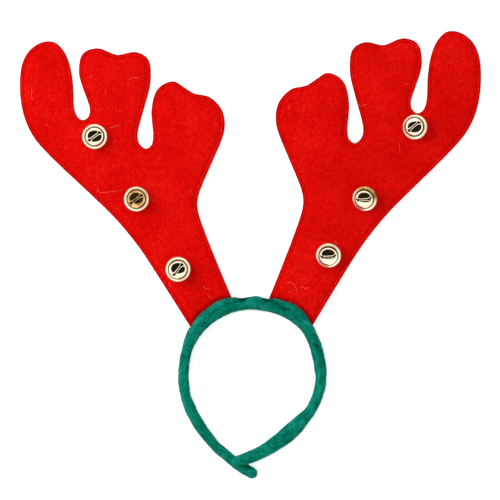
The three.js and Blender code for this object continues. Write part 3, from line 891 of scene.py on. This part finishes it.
def makeDome(name, matrix):
    sizes = bell
    slot = slotEdge()
    after, before = np.roll(slot, -1, 0), np.roll(slot, 1, 0)
    way = after - before
    way /= np.linalg.norm(way, axis=1)[:, None]
    apart = np.stack([way[:, 1], -way[:, 0]], 1)
    spin = np.linspace(0, 2 * math.pi, sizes["sides"], endpoint=False)
    radius = sizes["domeRadius"]

    def opened(flat):
        # plan positions to the angle from the pole, so that the steep side has even faces
        reach = np.linalg.norm(flat, axis=1)
        return flat * (np.arcsin(np.clip(reach / radius, 0, 1)) / np.maximum(reach, 1e-9))[:, None]

    rim = math.pi / 2 * np.stack([np.cos(spin), np.sin(spin)], 1)
    points = [rim] + [opened(slot + reach * apart) for reach, _ in sizes["slotLips"]]
    body = []
    for turn in np.radians(np.arange(4, 88, 4.5)):
        count = max(6, round(sizes["sides"] * math.sin(turn)))
        ring = np.linspace(0, 2 * math.pi, count, endpoint=False) + turn
        body.append(turn * np.stack([np.cos(ring), np.sin(ring)], 1))
    body = np.concatenate(body)
    hole = opened(slot)
    away, _ = awayFrom(body, hole, np.roll(hole, -1, 0))
    body = body[(away > 0.12) & ~insideEdge(body, hole)]
    points = np.concatenate(points + [body])
    rimCount, slotCount = len(rim), len(slot)
    edges = [(n, (n + 1) % rimCount) for n in range(rimCount)]
    edges += [(rimCount + n, rimCount + (n + 1) % slotCount) for n in range(slotCount)]
    made = geometry.delaunay_2d_cdt([Vector(point) for point in points], edges, [], 0, 1e-5)
    flat = np.array([tuple(vert) for vert in made[0]])
    place = {old: new for new, olds in enumerate(made[3]) for old in olds}
    middles = np.array([flat[list(face)].mean(0) for face in made[2]])
    kept = ~insideEdge(middles, hole)
    faces = [tuple(face) for face, keep in zip(made[2], kept) if keep]
    rimIndex = [place[n] for n in range(rimCount)]
    slotIndex = [place[rimCount + n] for n in range(slotCount)]

    turn = np.linalg.norm(flat, axis=1)
    way = flat / np.maximum(turn, 1e-9)[:, None]

    def skin(depth, drop):
        # a low cap on a short rounded wall
        reach = (radius - depth - drop) * np.sin(turn)
        height = sizes["domeBase"] + (sizes["domeCap"] - depth - drop) * np.cos(turn)
        height += sizes["domeWall"] * (1 - (1 - np.cos(turn)) ** 6)
        return np.c_[way * reach[:, None], height]

    plan = way * (radius * np.sin(turn))[:, None]
    away, _ = awayFrom(plan, slot, after)
    drop = np.interp(away, *zip(*sizes["slotLips"]))
    outer, inner = skin(0, drop), skin(sizes["shell"], drop)
    count = len(flat)
    allPoints = [outer, inner]
    allFaces = list(faces) + [tuple(corner + count for corner in reversed(face)) for face in faces]
    slotIndex, rimIndex = np.array(slotIndex), np.array(rimIndex)
    slotAfter = np.roll(slotIndex, -1)
    allFaces += list(zip(slotIndex, slotIndex + count, slotAfter + count, slotAfter))
    flange = ((radius + 0.1, sizes["domeBase"] - 0.05), (sizes["flange"], sizes["domeBase"] - 0.05),
              (sizes["flange"], sizes["flangeUnder"]), (radius - sizes["shell"], sizes["flangeUnder"]))
    previous = rimIndex
    first = 2 * count
    for reach, height in flange:
        allPoints.append(np.c_[reach * np.cos(spin), reach * np.sin(spin), np.full(rimCount, height)])
        ring = np.arange(rimCount) + first
        allFaces += list(zip(previous, ring, np.roll(ring, -1), np.roll(previous, -1)))
        previous = ring
        first += rimCount
    ring = rimIndex + count
    allFaces += list(zip(previous, ring, np.roll(ring, -1), np.roll(previous, -1)))
    allPoints = np.concatenate(allPoints)
    faceMaterials = [0] * len(allFaces)
    for index in range(len(faces), 2 * len(faces)):
        faceMaterials[index] = 1
    groove = np.interp(np.hypot(allPoints[:, 0], allPoints[:, 1]), *zip(*sizes["domeGroove"]))
    worn, _ = sizes["worn"].get(name.removesuffix("Dome"), (0, 0))
    paint = {"groove": groove, "worn": np.full(len(allPoints), worn)}
    return meshPiece(name, placed(matrix, allPoints), allFaces, [brass, insideShadeAndTarnish], sharp=40, paint=paint,
                     faceMaterials=faceMaterials)


def makePea(name, node):
    low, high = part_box(node)
    matrix = Matrix.Translation((low + high) / 2)
    profile = [(0, -bell["pea"]), *arc(bell["pea"], bell["pea"], 0, -84, 84, 14), (0, bell["pea"])]
    points, faces = turned(profile, 28)
    return meshPiece(name, placed(matrix, points), faces, [steel])


def makeBells():
    for side in ("left", "right"):
        for place in bell["places"]:
            node = f"bell_{side}_{place}"
            name = f"bell{side.capitalize()}{place.capitalize()}"
            matrix = bellFrame(node)
            settle(makeCup(f"{name}Cup", matrix), "bell_metal", f"{node}_cup")
            settle(makeDome(f"{name}Dome", matrix), "bell_metal", f"{node}_dome")
            settle(makePea(f"{name}Pea", f"{node}_pea"), "pea_steel", f"{node}_pea")
    print("six bells: cups, domes and peas")


# Plush band
def greenPlush():
    material, start, place = newMaterial("bandPlush")
    patches = place.clouds(12, 3, 1.0)
    brushed = place.clouds(2.8, 4, 1.2, 0.6)
    pile = place.clouds(0.8, 2)
    # painted shade in the band's hollows
    crease = painted(start, "crease")
    lengthways = {"X": painted(start, "along") * (0.14 * mm), "Y": painted(start, "reach") * mm}
    streaks = start.node("ShaderNodeCombineXYZ", {}, lengthways).clouds(1.5, 3, 0.6)
    shade = 0.53 + (patches - 0.5) * 0.9 + (brushed - 0.5) * 1.1 + (streaks - 0.5) * 1.1
    shade = shade + (pile - 0.5) * 0.8 - crease * 0.6
    surface(start, {
        "Base Color": shade.ramp([(0.0, (0.0, 0.04, 0.026)), (0.5, (0.0004, 0.2, 0.132)),
                                  (1.0, (0.012, 0.36, 0.27))]),
        "Roughness": 0.85 + (brushed - 0.5) * 0.2,
        "Specular IOR Level": 0.02,
        "Sheen Weight": 0.15, "Sheen Roughness": 0.35, "Sheen Tint": (0.02, 1, 0.8, 1),
        "Normal": bumped(start, pile + brushed + streaks, 0.35, 0.8),
    })
    return material


plush = greenPlush()
band = {
    "voxel": 0.85, "passes": 22, "swell": 0.22, "hoop": (1.19, -99.07), "radius": 58,
    "patch": 0.16, "fine": 0.07,
    # lumps stand out and hollows sink in and get painted shade: x, y, z, how far, how wide across the band
    # and along it
    "lumps": (
        (4.9, -34.5, 8, 1.2, 3.2, 5), (-14, -35.5, 9, 0.8, 3, 4), (20.5, -37, 8, 0.7, 3, 4),
        (-6.3, -35.4, 11, -1.6, 1.7, 3.6), (12.4, -35.6, 11, -1.3, 1.7, 2.8),
        (1.4, -42.5, 10.5, -0.7, 1.8, 1.2), (-3, -42.8, 10, -0.5, 1.8, 1.2), (5.8, -42.4, 10, -0.5, 1.8, 1.2),
        (3.4, -35.8, 11.5, -0.5, 1.0, 4), (22.6, -40.6, 11.5, -0.55, 1.8, 4.4),
        (28.5, -43.6, 11, -0.5, 1.8, 3.4), (-19, -38.6, 11.3, -0.4, 1.4, 4.4),
        (-28, -45, 11, -0.35, 1.6, 4.2), (36.5, -49.4, 11, -0.5, 2.2, 4.2),
        (53.5, -72.5, 9.5, -0.8, 1.3, 5.6),
        (-1.6, -169.4, 9, -0.7, 1.7, 3.2), (4.6, -174.6, 8, -0.35, 1.4, 1.6),
        (-12, -164.6, 9, -0.3, 1.2, 4),
    ),
    "pile": {"count": 46000, "long": 0.75, "wide": 0.075, "lean": 0.55, "lay": (0, 0, 1), "ruffle": 0.35},
}


def makeBand():
    mesh = solids["band"].data.copy()
    piece = bpy.data.objects.new("bandWork", mesh)
    scene.collection.objects.link(piece)
    remesh = piece.modifiers.new("cloth", "REMESH")
    remesh.mode = "VOXEL"
    remesh.voxel_size = band["voxel"] * mm
    smooth = piece.modifiers.new("soft", "SMOOTH")
    smooth.iterations = band["passes"]
    evaluated = piece.evaluated_get(bpy.context.evaluated_depsgraph_get())
    made = bpy.data.meshes.new_from_object(evaluated)
    bpy.data.objects.remove(piece)
    count = len(made.vertices)
    points, normals = np.zeros(count * 3), np.zeros(count * 3)
    made.vertices.foreach_get("co", points)
    made.vertices.foreach_get("normal", normals)
    points, normals = points.reshape(-1, 3) / mm, normals.reshape(-1, 3)
    offset = band["swell"] + band["patch"] * ripple(points, 15, 3) + band["fine"] * ripple(points, 4.5, 8)
    crease = np.zeros(count)
    for x, y, z, rise, across, along in band["lumps"]:
        away = points - (x, y, z)
        out = np.array((x, y)) - band["hoop"]
        out /= np.linalg.norm(out)
        radial = away[:, :2] @ out
        sideways = away[:, :2] @ (-out[1], out[0])
        share = np.exp(-(radial / across) ** 2 - (sideways / along) ** 2 - (away[:, 2] / 5) ** 2)
        offset += rise * share
        crease += max(0, -rise) * share
    points += normals * offset[:, None]
    points[:, 2] = np.maximum(points[:, 2], 0)
    faces = [tuple(polygon.vertices) for polygon in made.polygons]
    bpy.data.meshes.remove(made)
    x, y = (points[:, :2] - band["hoop"]).T
    paint = {"crease": crease, "along": np.arctan2(x, y) * band["radius"], "reach": np.hypot(x, y)}
    piece = meshPiece("bandCover", points * mm, faces, [plush], paint=paint)
    settle(piece, "plush_green", "band")
    print(f"band cover: {count} points")
    return piece


setStage()
makeBells()
makeAntler("left", 21)
makeAntler("right", 22)
makeSpikes("bandPile", makeBand(), band["pile"], plush, "plush_green", 12)
